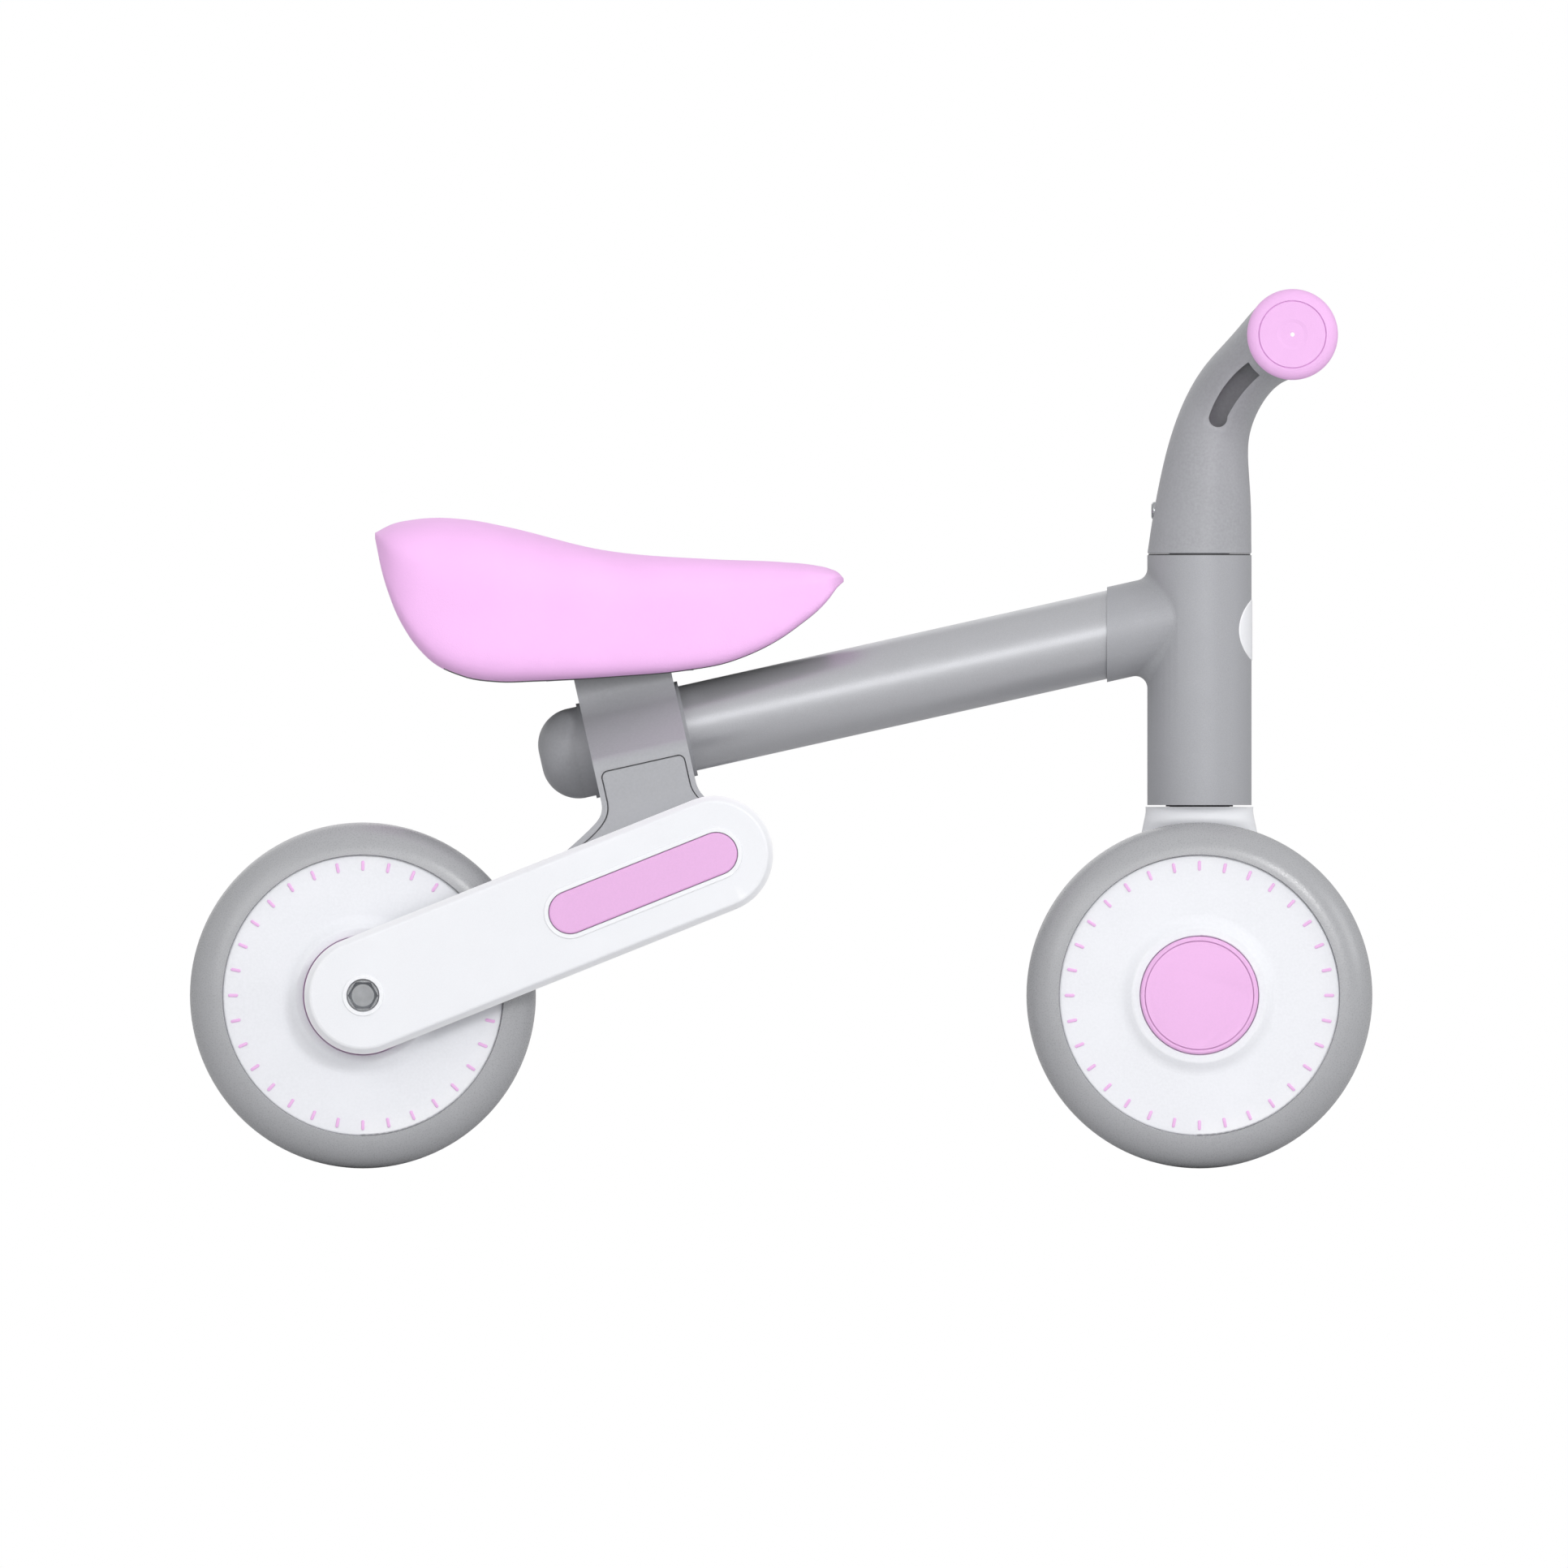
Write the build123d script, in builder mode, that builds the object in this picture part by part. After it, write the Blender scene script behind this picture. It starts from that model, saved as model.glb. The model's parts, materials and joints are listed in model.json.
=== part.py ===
from build123d import *
import os
from math import copysign, cos, radians, sin, tan

# Toddler balance bike: two front wheels either side of a central fork, two rear wheels between
# side arms, one main tube, a foam saddle and a straight handlebar on a curved stem.
# Row frame: +X forward, +Y to the rider's left, +Z up, origin on the floor midway between the
# axles. All sizes are in millimetres. Right-hand pieces (-Y) are modelled and then mirrored.

# ---- driving dimensions ----
WHEEL_RADIUS = 73.0
WHEELBASE = 353.0
FRONT_X, REAR_X, AXLE_Z = WHEELBASE / 2, -WHEELBASE / 2, WHEEL_RADIUS
FRONT_WHEEL_Y = 33.0  # middle of a front wheel from the centre plane
REAR_WHEEL_Y = 38.0
AXLE_R = 4.0
RUNNING = 0.05  # radial clearance of a turning fit
FACE_GAP = 0.2  # between faces that turn against each other

TUBE_R, TUBE_WALL = 18.25, 1.75
TUBE_ANGLE = 12.6  # main tube's rise towards the front, in degrees
YOKE_X, YOKE_Z = -60.9, 180.9  # where the yoke's middle sits on the tube's axis
SOCKET_R, SOCKET_END_X = 19.6, 137.5

HEAD_R, HEAD_BOTTOM, HEAD_TOP = 22.0, 153.3, 258.8
HEAD_GAP = 0.7
STEERER_R, STEERER_WALL = 12.7, 2.0
BUSH_R, BUSH_LENGTH = 14.2, 22.0
STEER_LIMIT = 67.5  # degrees each way

ARM_ANGLE, ARM_LENGTH, ARM_R = 21.84, 159.8, 24.8
ARM_IN, ARM_THICK = 58.0, 14.0
INSERT_AT, INSERT_LENGTH, INSERT_R, INSERT_DEPTH = 127.4, 84.4, 9.0, 3.2
ARM_BOLT_AT = (105.0, 150.0)
ARM_BORE_DEPTH = 6.0  # counterbore that holds the rear axle bolt's head

BAR_X, BAR_Z, BAR_R, BAR_WALL, BAR_HALF = 215.8, 351.9, 11.0, 1.5, 86.0
BUTTON_Z, BUTTON_R = 277.5, 3.85
SLIDING = 0.15  # radial clearance of the snap button

SEAT_X, SEAT_Z, SEAT_ANGLE = -68.0, 207.5, 4.4

# ---- working planes ----
TUBE_DIR = Vector(cos(radians(TUBE_ANGLE)), 0, sin(radians(TUBE_ANGLE)))
YOKE_AT = Vector(YOKE_X, 0, YOKE_Z)
YOKE_SIDE = Plane(YOKE_AT, x_dir=TUBE_DIR, z_dir=(0, -1, 0))  # (along the tube, above it)
YOKE_FRONT = Plane(YOKE_AT, x_dir=(0, 1, 0), z_dir=TUBE_DIR)  # (to the left, above the tube)
YOKE_UP = Plane(YOKE_AT, x_dir=(0, 1, 0), z_dir=YOKE_SIDE.y_dir)  # square to the tube
ARM_DIR = Vector(cos(radians(ARM_ANGLE)), 0, sin(radians(ARM_ANGLE)))
ARM_SIDE = Plane((REAR_X, 0, AXLE_Z), x_dir=ARM_DIR, z_dir=(0, -1, 0))  # (along, across the arm)
SEAT_UP = Vector(-sin(radians(SEAT_ANGLE)), 0, cos(radians(SEAT_ANGLE)))
SEAT_PLANE = Plane((SEAT_X, 0, SEAT_Z), z_dir=SEAT_UP)


def save(piece, name):
    """Labels a finished piece and writes it to its own file."""
    piece.label = name
    export_step(piece, f"parts/{name}.step")


def save_pair(piece, name):
    """Writes a right-hand piece and its left-hand mirror image."""
    save(piece, f"{name}_right")
    save(mirror(piece, about=Plane.XZ), f"{name}_left")


def across(x, y, z):
    """A plane whose normal points outwards, away from the centre plane, at the given point."""
    return Plane((x, y, z), x_dir=(1, 0, 0), z_dir=(0, copysign(1, y), 0))


def ring(plane, outer, inner, length):
    """A plain tube or washer standing on a plane."""
    with BuildPart() as tube:
        with BuildSketch(plane):
            Circle(outer)
            Circle(inner, mode=Mode.SUBTRACT)
        extrude(amount=length)
    return tube.part


# ---- wheels: made at the origin with the outer face towards -Y, then placed ----
TYRE_HALF = 17.0
RIM_R, RIM_WALL, RIM_FACE = 59.2, 2.4, 15.0
LOCK_R, LOCK_HALF = 61.7, 4.0
HUB_BORE, HUB_R = 8.0, 12.0
CUP_R, CUP_FLOOR, CUP_LIP = 25.1, 8.0, 17.0
CAP_R, CAP_FACE, CAP_WALL = 24.9, 18.0, 2.0
BUSH_FLANGE_R, BUSH_FLANGE = 10.0, 1.5
RIM_SCREWS_R, RIM_SCREWS = 42.0, 4
SCREW_R, SCREW_HEAD_R = 1.4, 3.2


def revolved(points, rounded=()):
    """A solid of revolution about Y from (radius, outward distance) points; rounded holds
    (point number, fillet radius) pairs."""
    corners = [(radius, -out) for radius, out in points]
    with BuildPart() as turned:
        with BuildSketch(Plane.XY) as profile:
            with BuildLine():
                Polyline(*corners, close=True)
            make_face()
            for number, radius in rounded:
                corner = profile.vertices().sort_by_distance(corners[number])[0]
                fillet(corner, radius)
        revolve(axis=Axis.Y)
    return turned.part


def wheel_tyre():
    shoulder = 13.5
    with BuildPart() as tyre:
        with BuildSketch(Plane.XY):
            with BuildLine():
                Polyline(
                    (RIM_R, -RIM_FACE), (RIM_R, -LOCK_HALF), (LOCK_R, -LOCK_HALF),
                    (LOCK_R, LOCK_HALF), (RIM_R, LOCK_HALF), (RIM_R, RIM_FACE),
                )
                for side in (-1, 1):
                    bead = (RIM_R, side * RIM_FACE)
                    wall = (WHEEL_RADIUS - shoulder, side * TYRE_HALF)
                    tread = (WHEEL_RADIUS, side * (TYRE_HALF - shoulder))
                    Line(bead, wall)
                    RadiusArc(wall, tread, side * shoulder)
                Line(
                    (WHEEL_RADIUS, shoulder - TYRE_HALF), (WHEEL_RADIUS, TYRE_HALF - shoulder)
                )
            make_face()
        revolve(axis=Axis.Y)
    return tyre.part


def rim_ribs(inner_height, outer_height, side):
    """Six radial ribs between hub and drum, on one side of the wheel's middle plane."""
    cup = CUP_R + 1.0
    outline = [(HUB_R - 0.5, 0), (RIM_R - 1, 0), (RIM_R - 1, outer_height), (cup, outer_height),
               (cup, inner_height), (HUB_R - 0.5, inner_height)]
    with BuildPart() as ribs:
        with BuildSketch(Plane.XY):
            Polygon(*[(radius, side * height) for radius, height in outline], align=None)
        extrude(amount=1.0, both=True)
    return [ribs.part.rotate(Axis.Y, 60 * turn) for turn in range(6)]


def rim_outer():
    floor, skin, cup_wall = CUP_FLOOR - RIM_WALL, RIM_FACE - 2.6, CUP_R + RIM_WALL
    shell = revolved(
        [(HUB_BORE, 0), (HUB_R, 0), (HUB_R, floor), (cup_wall, floor), (cup_wall, skin),
         (RIM_R - RIM_WALL, skin), (RIM_R - RIM_WALL, 0), (LOCK_R, 0), (LOCK_R, LOCK_HALF),
         (RIM_R, LOCK_HALF), (RIM_R, RIM_FACE), (32.5, RIM_FACE - 0.3), (28.5, CUP_LIP),
         (CUP_R, CUP_LIP), (CUP_R, CUP_FLOOR), (HUB_BORE, CUP_FLOOR)],
        rounded=[(10, 0.8), (11, 6.0), (12, 1.6), (13, 0.6)],
    )
    with BuildPart() as rim:
        add(shell)
        add(rim_ribs(floor + 0.5, skin + 0.5, -1))
        with BuildSketch(Plane.XZ):
            with PolarLocations(RIM_SCREWS_R, RIM_SCREWS, start_angle=45):
                Circle(4.0)
        extrude(amount=skin + 0.5)
        with BuildSketch(Plane.XZ):
            with PolarLocations(RIM_SCREWS_R, RIM_SCREWS, start_angle=45):
                Circle(SCREW_R)
        extrude(amount=10.0, mode=Mode.SUBTRACT)
    return rim.part


def rim_inner():
    skin = RIM_FACE - 2.6
    shell = revolved(
        [(HUB_BORE, 0), (HUB_R, 0), (HUB_R, -skin), (RIM_R - RIM_WALL, -skin),
         (RIM_R - RIM_WALL, 0), (LOCK_R, 0), (LOCK_R, -LOCK_HALF), (RIM_R, -LOCK_HALF),
         (RIM_R, -RIM_FACE), (HUB_BORE, -RIM_FACE)],
        rounded=[(8, 0.8)],
    )
    with BuildPart() as rim:
        add(shell)
        add(rim_ribs(skin + 0.5, skin + 0.5, 1))
        with BuildSketch(Plane.XZ):
            with PolarLocations(RIM_SCREWS_R, RIM_SCREWS, start_angle=45):
                Circle(4.0)
        extrude(amount=-(skin + 0.5))
        for radius, start, end in ((1.8, 0, 15.5), (3.4, 11.0, 15.5)):
            with BuildSketch(Plane.XZ.offset(-start)):
                with PolarLocations(RIM_SCREWS_R, RIM_SCREWS, start_angle=45):
                    Circle(radius)
            extrude(amount=start - end, mode=Mode.SUBTRACT)
    return rim.part


def rim_screws():
    head_seat, head_height, reach = 11.0, 2.2, 9.5
    with BuildPart() as screws:
        with BuildSketch(Plane.XZ.offset(-head_seat)):
            with PolarLocations(RIM_SCREWS_R, RIM_SCREWS, start_angle=45):
                Circle(SCREW_HEAD_R)
        extrude(amount=-head_height)
        fillet(screws.edges().group_by(Axis.Y)[-1], 1.0)
        with BuildSketch(Plane.XZ.offset(reach)):
            with PolarLocations(RIM_SCREWS_R, RIM_SCREWS, start_angle=45):
                Circle(SCREW_R)
        extrude(amount=-reach - head_seat)
        with BuildSketch(Plane.XZ.offset(-head_seat - head_height)):
            with PolarLocations(RIM_SCREWS_R, RIM_SCREWS, start_angle=45):
                Rectangle(3.4, 0.8)
                Rectangle(0.8, 3.4)
        extrude(amount=1.2, mode=Mode.SUBTRACT)
    return screws.part


def wheel_bushes():
    """Two flanged nylon bushes, pressed into the hub from each side."""
    length, bore = 11.0, AXLE_R + RUNNING
    outer = [(bore, CUP_FLOOR - length), (HUB_BORE, CUP_FLOOR - length), (HUB_BORE, CUP_FLOOR),
             (BUSH_FLANGE_R, CUP_FLOOR), (BUSH_FLANGE_R, CUP_FLOOR + BUSH_FLANGE),
             (bore, CUP_FLOOR + BUSH_FLANGE)]
    inner = [(bore, length - RIM_FACE), (HUB_BORE, length - RIM_FACE), (HUB_BORE, -RIM_FACE),
             (BUSH_FLANGE_R, -RIM_FACE), (BUSH_FLANGE_R, -RIM_FACE - BUSH_FLANGE),
             (bore, -RIM_FACE - BUSH_FLANGE)]
    with BuildPart() as bushes:
        add(revolved(outer))
        add(revolved(inner))
    return bushes.part


def hub_cap(hole_radius):
    """Snap-in cap with a fine ring groove; a rear one has a hole for the axle spacer."""
    groove, depth = 22.7, 0.9
    return revolved(
        [(hole_radius, CAP_FACE), (groove, CAP_FACE), (groove, CAP_FACE - depth),
         (groove + 0.4, CAP_FACE - depth), (groove + 0.4, CAP_FACE), (CAP_R, CAP_FACE),
         (CAP_R, CUP_FLOOR + 0.2), (CAP_R - CAP_WALL, CUP_FLOOR + 0.2),
         (CAP_R - CAP_WALL, CAP_FACE - CAP_WALL), (hole_radius, CAP_FACE - CAP_WALL)],
        rounded=[(5, 1.1)],
    )


def make_wheels():
    pieces = {
        "tyre": wheel_tyre(), "rim_outer": rim_outer(), "rim_inner": rim_inner(),
        "rim_screws": rim_screws(), "bushes": wheel_bushes(),
    }
    for end, x, y, hole in (("front", FRONT_X, FRONT_WHEEL_Y, 0), ("rear", REAR_X, REAR_WHEEL_Y, 8.0)):
        for name, piece in {**pieces, "hub_cap": hub_cap(hole)}.items():
            save_pair(Pos(x, -y, AXLE_Z) * piece, f"{end}_{name}")


# ---- axles ----
HEX_ACROSS, HEX_HEIGHT, BOLT_R, BOLT_REACH = 11.0, 4.0, 3.0, 18.0


def axle_shaft(x, half_length):
    """A plain steel shaft across the bike, drilled at each end for its bolt."""
    with BuildPart() as shaft:
        with BuildSketch(across(x, 0, AXLE_Z)):
            Circle(AXLE_R)
        extrude(amount=half_length, both=True)
        for side in (-1, 1):
            with BuildSketch(across(x, side * half_length, AXLE_Z)):
                Circle(BOLT_R)
            extrude(amount=-BOLT_REACH, mode=Mode.SUBTRACT)
    return shaft.part


def hex_head(seat):
    """An indented hexagon head whose corners run down a cone from its round top."""
    with BuildPart() as head:
        with BuildSketch(seat):
            RegularPolygon(HEX_ACROSS / 2, 6, major_radius=False)
        extrude(amount=HEX_HEIGHT)
        with BuildSketch(seat.offset(HEX_HEIGHT)):
            Circle(4.7)
        extrude(amount=-HEX_HEIGHT, taper=-40, mode=Mode.INTERSECT)
        with BuildSketch(seat.offset(HEX_HEIGHT)):
            Circle(3.5)
        extrude(amount=-0.5, mode=Mode.SUBTRACT)
    return head.part


def axle_bolts(x, seat_y, shaft_half, flange):
    """The bolt of each axle end: a hexagon head on a flange, seated at seat_y."""
    shank_end = shaft_half - BOLT_REACH + 1
    with BuildPart() as bolts:
        for side in (-1, 1):
            seat = across(x, side * seat_y, AXLE_Z)
            with BuildSketch(seat):
                Circle(6.5)
            extrude(amount=flange)
            add(hex_head(seat.offset(flange)))
            with BuildSketch(seat):
                Circle(BOLT_R)
            extrude(amount=shank_end - seat_y)
    return bolts.part


# distances from a wheel's middle to the spacers either side of it
SPACER_OUT = CUP_FLOOR + BUSH_FLANGE + FACE_GAP
SPACER_IN = RIM_FACE + BUSH_FLANGE + FACE_GAP
FRONT_AXLE_HALF = FRONT_WHEEL_Y + SPACER_OUT
WASHER = 1.2


def front_spacers():
    """Collars between fork and wheels, and a washer under each axle bolt."""
    with BuildPart() as spacers:
        for side in (-1, 1):
            boss = across(FRONT_X, side * FORK_BOSS_Y, AXLE_Z)
            add(ring(boss, 7.0, AXLE_R, FRONT_WHEEL_Y - SPACER_IN - FORK_BOSS_Y))
            add(ring(across(FRONT_X, side * FRONT_AXLE_HALF, AXLE_Z), 8.0, BOLT_R, WASHER))
    return spacers.part


def rear_spacers():
    """One collar between the rear wheels and one between each wheel and its arm."""
    between, outer = REAR_WHEEL_Y - SPACER_IN, REAR_WHEEL_Y + SPACER_OUT
    with BuildPart() as spacers:
        add(ring(across(REAR_X, between, AXLE_Z), 6.0, AXLE_R, -2 * between))
        for side in (-1, 1):
            add(ring(across(REAR_X, side * outer, AXLE_Z), 6.0, AXLE_R, ARM_IN - outer))
    return spacers.part


def make_axles():
    save(axle_shaft(FRONT_X, FRONT_AXLE_HALF), "front_axle")
    save(axle_shaft(REAR_X, ARM_IN), "rear_axle")
    save(axle_bolts(FRONT_X, FRONT_AXLE_HALF + WASHER, FRONT_AXLE_HALF, 0.6), "front_axle_bolts")
    save(axle_bolts(REAR_X, ARM_IN + ARM_THICK - ARM_BORE_DEPTH, ARM_IN, 0.8), "rear_axle_bolts")
    save(front_spacers(), "front_spacers")
    save(rear_spacers(), "rear_spacers")


# ---- fork: a steel core inside two moulded halves ----
FORK_BOSS_Y, FORK_BOSS_R = 13.5, 17.0
CROWN_TOP = HEAD_BOTTOM - HEAD_GAP
CROWN_LONG, CROWN_WIDE, BLADE_LONG, BLADE_WIDE = 22.8, 22.2, 26.6, 12.0  # half sizes
BLADE_FOOT, BLADE_SECTIONS = 68.0, 16
STEERER_TOP = 300.0
CORE_THICK, CORE_WIDTH, EYE_R = 10.0, 24.0, 12.5
FORK_SCREW_Z, FORK_SCREW_R = (128.0, 104.0), 2.0
STEERER_FOOT, CORE_TOP = 145.0, 147.0
STOP_R, STOP_PIN_R, STOP_RISE = 18.1, 2.0, 3.2


def ease(share):
    """A smooth step from 0 to 1."""
    share = min(max(share, 0), 1)
    return share * share * (3 - 2 * share)


def fork_core():
    """Steerer tube welded to a flat blade that ends in the axle eye."""
    with BuildPart() as core:
        with BuildSketch(Plane.XY.offset(STEERER_FOOT)):
            with Locations((FRONT_X, 0)):
                Circle(STEERER_R)
        extrude(amount=STEERER_TOP - STEERER_FOOT)
        with BuildSketch(Plane.XY.offset(150.0)):
            with Locations((FRONT_X, 0)):
                Circle(STEERER_R - STEERER_WALL)
        extrude(amount=STEERER_TOP - 150.0, mode=Mode.SUBTRACT)
        with BuildSketch(Plane.XZ):
            with Locations((FRONT_X, (AXLE_Z + CORE_TOP) / 2)):
                Rectangle(CORE_WIDTH, CORE_TOP - AXLE_Z)
            with Locations((FRONT_X, AXLE_Z)):
                Circle(EYE_R)
        extrude(amount=CORE_THICK / 2, both=True)
        with BuildSketch(Plane.XZ):
            with Locations((FRONT_X, AXLE_Z)):
                Circle(AXLE_R)
            with Locations(*[(FRONT_X, z) for z in FORK_SCREW_Z]):
                Circle(FORK_SCREW_R + 0.2)
        extrude(amount=CORE_THICK, both=True, mode=Mode.SUBTRACT)
        with BuildSketch(Plane.YZ):
            with Locations((0, BUTTON_Z)):
                Circle(BUTTON_R + SLIDING)
        extrude(amount=FRONT_X, mode=Mode.SUBTRACT)
    return core.part


def fork_screws():
    """Socket screws from the right that hold the two mouldings on the core."""
    head_out, head_height, length = 11.6, 2.2, 17.4
    with BuildPart() as screws:
        for z in FORK_SCREW_Z:
            head = across(FRONT_X, -head_out, z)
            with BuildSketch(head):
                Circle(3.4)
            extrude(amount=-head_height)
            with BuildSketch(head.offset(-head_height)):
                Circle(FORK_SCREW_R)
            extrude(amount=-length)
            with BuildSketch(head):
                RegularPolygon(1.5, 6)
            extrude(amount=-1.4, mode=Mode.SUBTRACT)
    return screws.part


def steering_stop_pin():
    """Upright pin on the left of the fork's crown; it runs in the groove under the head lug."""
    root = 3.5
    with BuildPart() as pin:
        with BuildSketch(Plane.XY.offset(CROWN_TOP - root)):
            with Locations((FRONT_X, STOP_R)):
                Circle(STOP_PIN_R)
        extrude(amount=root + STOP_RISE)
        chamfer(pin.edges().group_by(Axis.Z)[-1], 0.4)
    return pin.part


def fork_mouldings(core, screws, pin):
    """The outer shape of both fork halves together, hollowed for what it holds."""
    with BuildPart() as fork:
        for step in range(BLADE_SECTIONS + 1):
            down = step * (CROWN_TOP - BLADE_FOOT) / BLADE_SECTIONS
            wide = CROWN_WIDE + (BLADE_WIDE - CROWN_WIDE) * ease(down / 17)
            flare = (BLADE_LONG - CROWN_LONG) * ease(down / 24)
            taper = 12 * ease((down - 24.6) / 60)
            with BuildSketch(Plane.XY.offset(CROWN_TOP - down)):
                with Locations((FRONT_X, 0)):
                    Ellipse(CROWN_LONG + flare - taper, wide)
        loft()
        with BuildSketch(Plane.XZ):
            with Locations((FRONT_X, AXLE_Z)):
                Circle(FORK_BOSS_R)
        extrude(amount=FORK_BOSS_Y, both=True)
        add([core, screws, pin], mode=Mode.SUBTRACT)
        # screw holes stay open where the core's own holes are wider than the screws
        with BuildSketch(Plane.XZ):
            with Locations(*[(FRONT_X, z) for z in FORK_SCREW_Z]):
                Circle(FORK_SCREW_R)
        extrude(amount=8.0, both=True, mode=Mode.SUBTRACT)
        with BuildSketch(Plane.XZ):
            with Locations((FRONT_X, AXLE_Z)):
                Circle(AXLE_R)
        extrude(amount=FORK_BOSS_Y + 1, both=True, mode=Mode.SUBTRACT)
        with BuildSketch(Plane.XY.offset(STEERER_FOOT)):
            with Locations((FRONT_X, 0)):
                Circle(STEERER_R)
        extrude(amount=20.0, mode=Mode.SUBTRACT)
        with BuildSketch(Plane.XZ.offset(9.4)):
            with Locations(*[(FRONT_X, z) for z in FORK_SCREW_Z]):
                Circle(3.6)
        extrude(amount=10.0, mode=Mode.SUBTRACT)
    return fork.part


def make_fork():
    core, screws, pin = fork_core(), fork_screws(), steering_stop_pin()
    save(core, "fork_core")
    save(screws, "fork_screws")
    save(pin, "steering_stop_pin")
    fork = fork_mouldings(core, screws, pin)
    save(split(fork, bisect_by=Plane.XZ, keep=Keep.BOTTOM), "fork_cover_left")
    save(split(fork, bisect_by=Plane.XZ, keep=Keep.TOP), "fork_cover_right")


# ---- main tube, head lug and headset ----
def tube_point(x):
    """The point of the main tube's axis at a given X."""
    return Vector(x, 0, YOKE_Z + (x - YOKE_X) * tan(radians(TUBE_ANGLE)))


TUBE_REAR = -23.0  # along the tube from the yoke's middle
TUBE_FRONT_X = 151.0
YOKE_BOLT_R = 3.0


def main_tube():
    length = (TUBE_FRONT_X - YOKE_X) / cos(radians(TUBE_ANGLE))
    with BuildPart() as tube:
        with BuildSketch(YOKE_FRONT.offset(TUBE_REAR)):
            Circle(TUBE_R)
            Circle(TUBE_R - TUBE_WALL, mode=Mode.SUBTRACT)
        extrude(amount=length - TUBE_REAR)
        with BuildSketch(YOKE_UP):
            Circle(YOKE_BOLT_R)
        extrude(amount=TUBE_R + 2, both=True, mode=Mode.SUBTRACT)
    return tube.part


def tube_end_cap():
    """Domed plug in the tube's rear end, its head resting on the liner's flange."""
    head_start, head_length, head_r, plug_r = -21.9, 19.6, 19.2, TUBE_R - TUBE_WALL
    with BuildPart() as cap:
        with BuildSketch(YOKE_FRONT.offset(head_start)):
            Circle(head_r)
        extrude(amount=-head_length)
        fillet(cap.faces().sort_by(Axis(YOKE_AT, TUBE_DIR))[0].edges(), 15.5)
        with BuildSketch(YOKE_FRONT.offset(head_start)):
            Circle(TUBE_R)
        extrude(amount=TUBE_REAR - head_start, mode=Mode.SUBTRACT)
        with BuildSketch(YOKE_FRONT.offset(TUBE_REAR)):
            Circle(plug_r)
            Circle(plug_r - 2.4, mode=Mode.SUBTRACT)
        extrude(amount=16.0)
    return cap.part


def head_lug():
    """Upright head tube with a slanting socket for the main tube, bored for the bushes."""
    relief = HEAD_BOTTOM + BUSH_LENGTH
    stop_turn = STEER_LIMIT + 1
    with BuildPart() as lug:
        with BuildSketch(Plane.XY.offset(HEAD_BOTTOM)):
            with Locations((FRONT_X, 0)):
                Circle(HEAD_R)
        extrude(amount=HEAD_TOP - HEAD_BOTTOM)
        with BuildSketch(Plane(tube_point(FRONT_X - 60), x_dir=(0, 1, 0), z_dir=TUBE_DIR)):
            Circle(SOCKET_R)
        extrude(amount=60.0)
        # the socket's end is cut upright
        with BuildSketch(Plane.YZ.offset(SOCKET_END_X)):
            with Locations((0, 210)):
                Rectangle(100, 100)
        extrude(amount=-60.0, mode=Mode.SUBTRACT)
        seam = [
            edge for edge in lug.edges()
            if SOCKET_END_X + 2 < edge.center().X < FRONT_X and 200 < edge.center().Z < 250
        ]
        fillet(seam, 5.0)
        with BuildSketch(Plane(tube_point(TUBE_FRONT_X), x_dir=(0, 1, 0), z_dir=TUBE_DIR)):
            Circle(TUBE_R)
        extrude(amount=-60.0, mode=Mode.SUBTRACT)
        with BuildSketch(Plane.XY.offset(HEAD_BOTTOM)):
            with Locations((FRONT_X, 0)):
                Circle(BUSH_R)
        extrude(amount=HEAD_TOP - HEAD_BOTTOM, mode=Mode.SUBTRACT)
        with BuildSketch(Plane.XY.offset(relief)):
            with Locations((FRONT_X, 0)):
                Circle(BUSH_R + 2.4)
        extrude(amount=HEAD_TOP - BUSH_LENGTH - relief, mode=Mode.SUBTRACT)
        # curved groove that the stop pin runs in
        with BuildSketch(Plane.XY.offset(HEAD_BOTTOM)):
            with Locations((FRONT_X, 0)):
                groove = CenterArc((0, 0), STOP_R, 90 - stop_turn, 2 * stop_turn, mode=Mode.PRIVATE)
                SlotArc(groove, 2 * STOP_PIN_R + 0.6)
        extrude(amount=STOP_RISE + 0.5, mode=Mode.SUBTRACT)
    return lug.part


def headset_bushes():
    """Two nylon bushes; the upper one's flange fills the gap under the stem."""
    proud, flange = HEAD_GAP - 0.1, 21.5
    with BuildPart() as bushes:
        for start in (HEAD_BOTTOM - proud, HEAD_TOP + proud - BUSH_LENGTH):
            add(ring(Plane((FRONT_X, 0, start)), BUSH_R, STEERER_R + RUNNING, BUSH_LENGTH))
        add(ring(Plane((FRONT_X, 0, HEAD_TOP)), flange, STEERER_R + RUNNING, proud))
    return bushes.part


def make_frame_tube():
    save(main_tube(), "main_tube")
    save(tube_end_cap(), "tube_end_cap")
    save(head_lug(), "head_lug")
    save(headset_bushes(), "headset_bushes")


# ---- yoke: clamps the tube, carries the saddle and holds both side arms ----
YOKE_HALF = 20.4  # half its length along the tube
LINER_R, LINER_FLANGE_R, LINER_FLANGE = 19.5, 20.4, 1.5
LEG_OUT, LEG_WEB, PANEL_THICK = ARM_IN, 5.0, 3.0
LEG_IN = LEG_OUT - PANEL_THICK - LEG_WEB
ARCH_TOP = -27.5
FOOT_REAR, FOOT_FRONT, FOOT_R = Vector(-39.6, -64.3), Vector(21.4, -54.4), 20.0
PANEL_TOP, PANEL_INSET, PANEL_GAP = -10.4, 2.7, 0.45
FOOT_TURN = ARM_ANGLE - TUBE_ANGLE
BED_LOW, BASE_LOW, BASE_HIGH = 2.5, 5.5, 9.5  # above the seat plane
SEAT_SCREW_PITCH = (54, 30)
NUT_HEIGHT = 5.0


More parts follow.
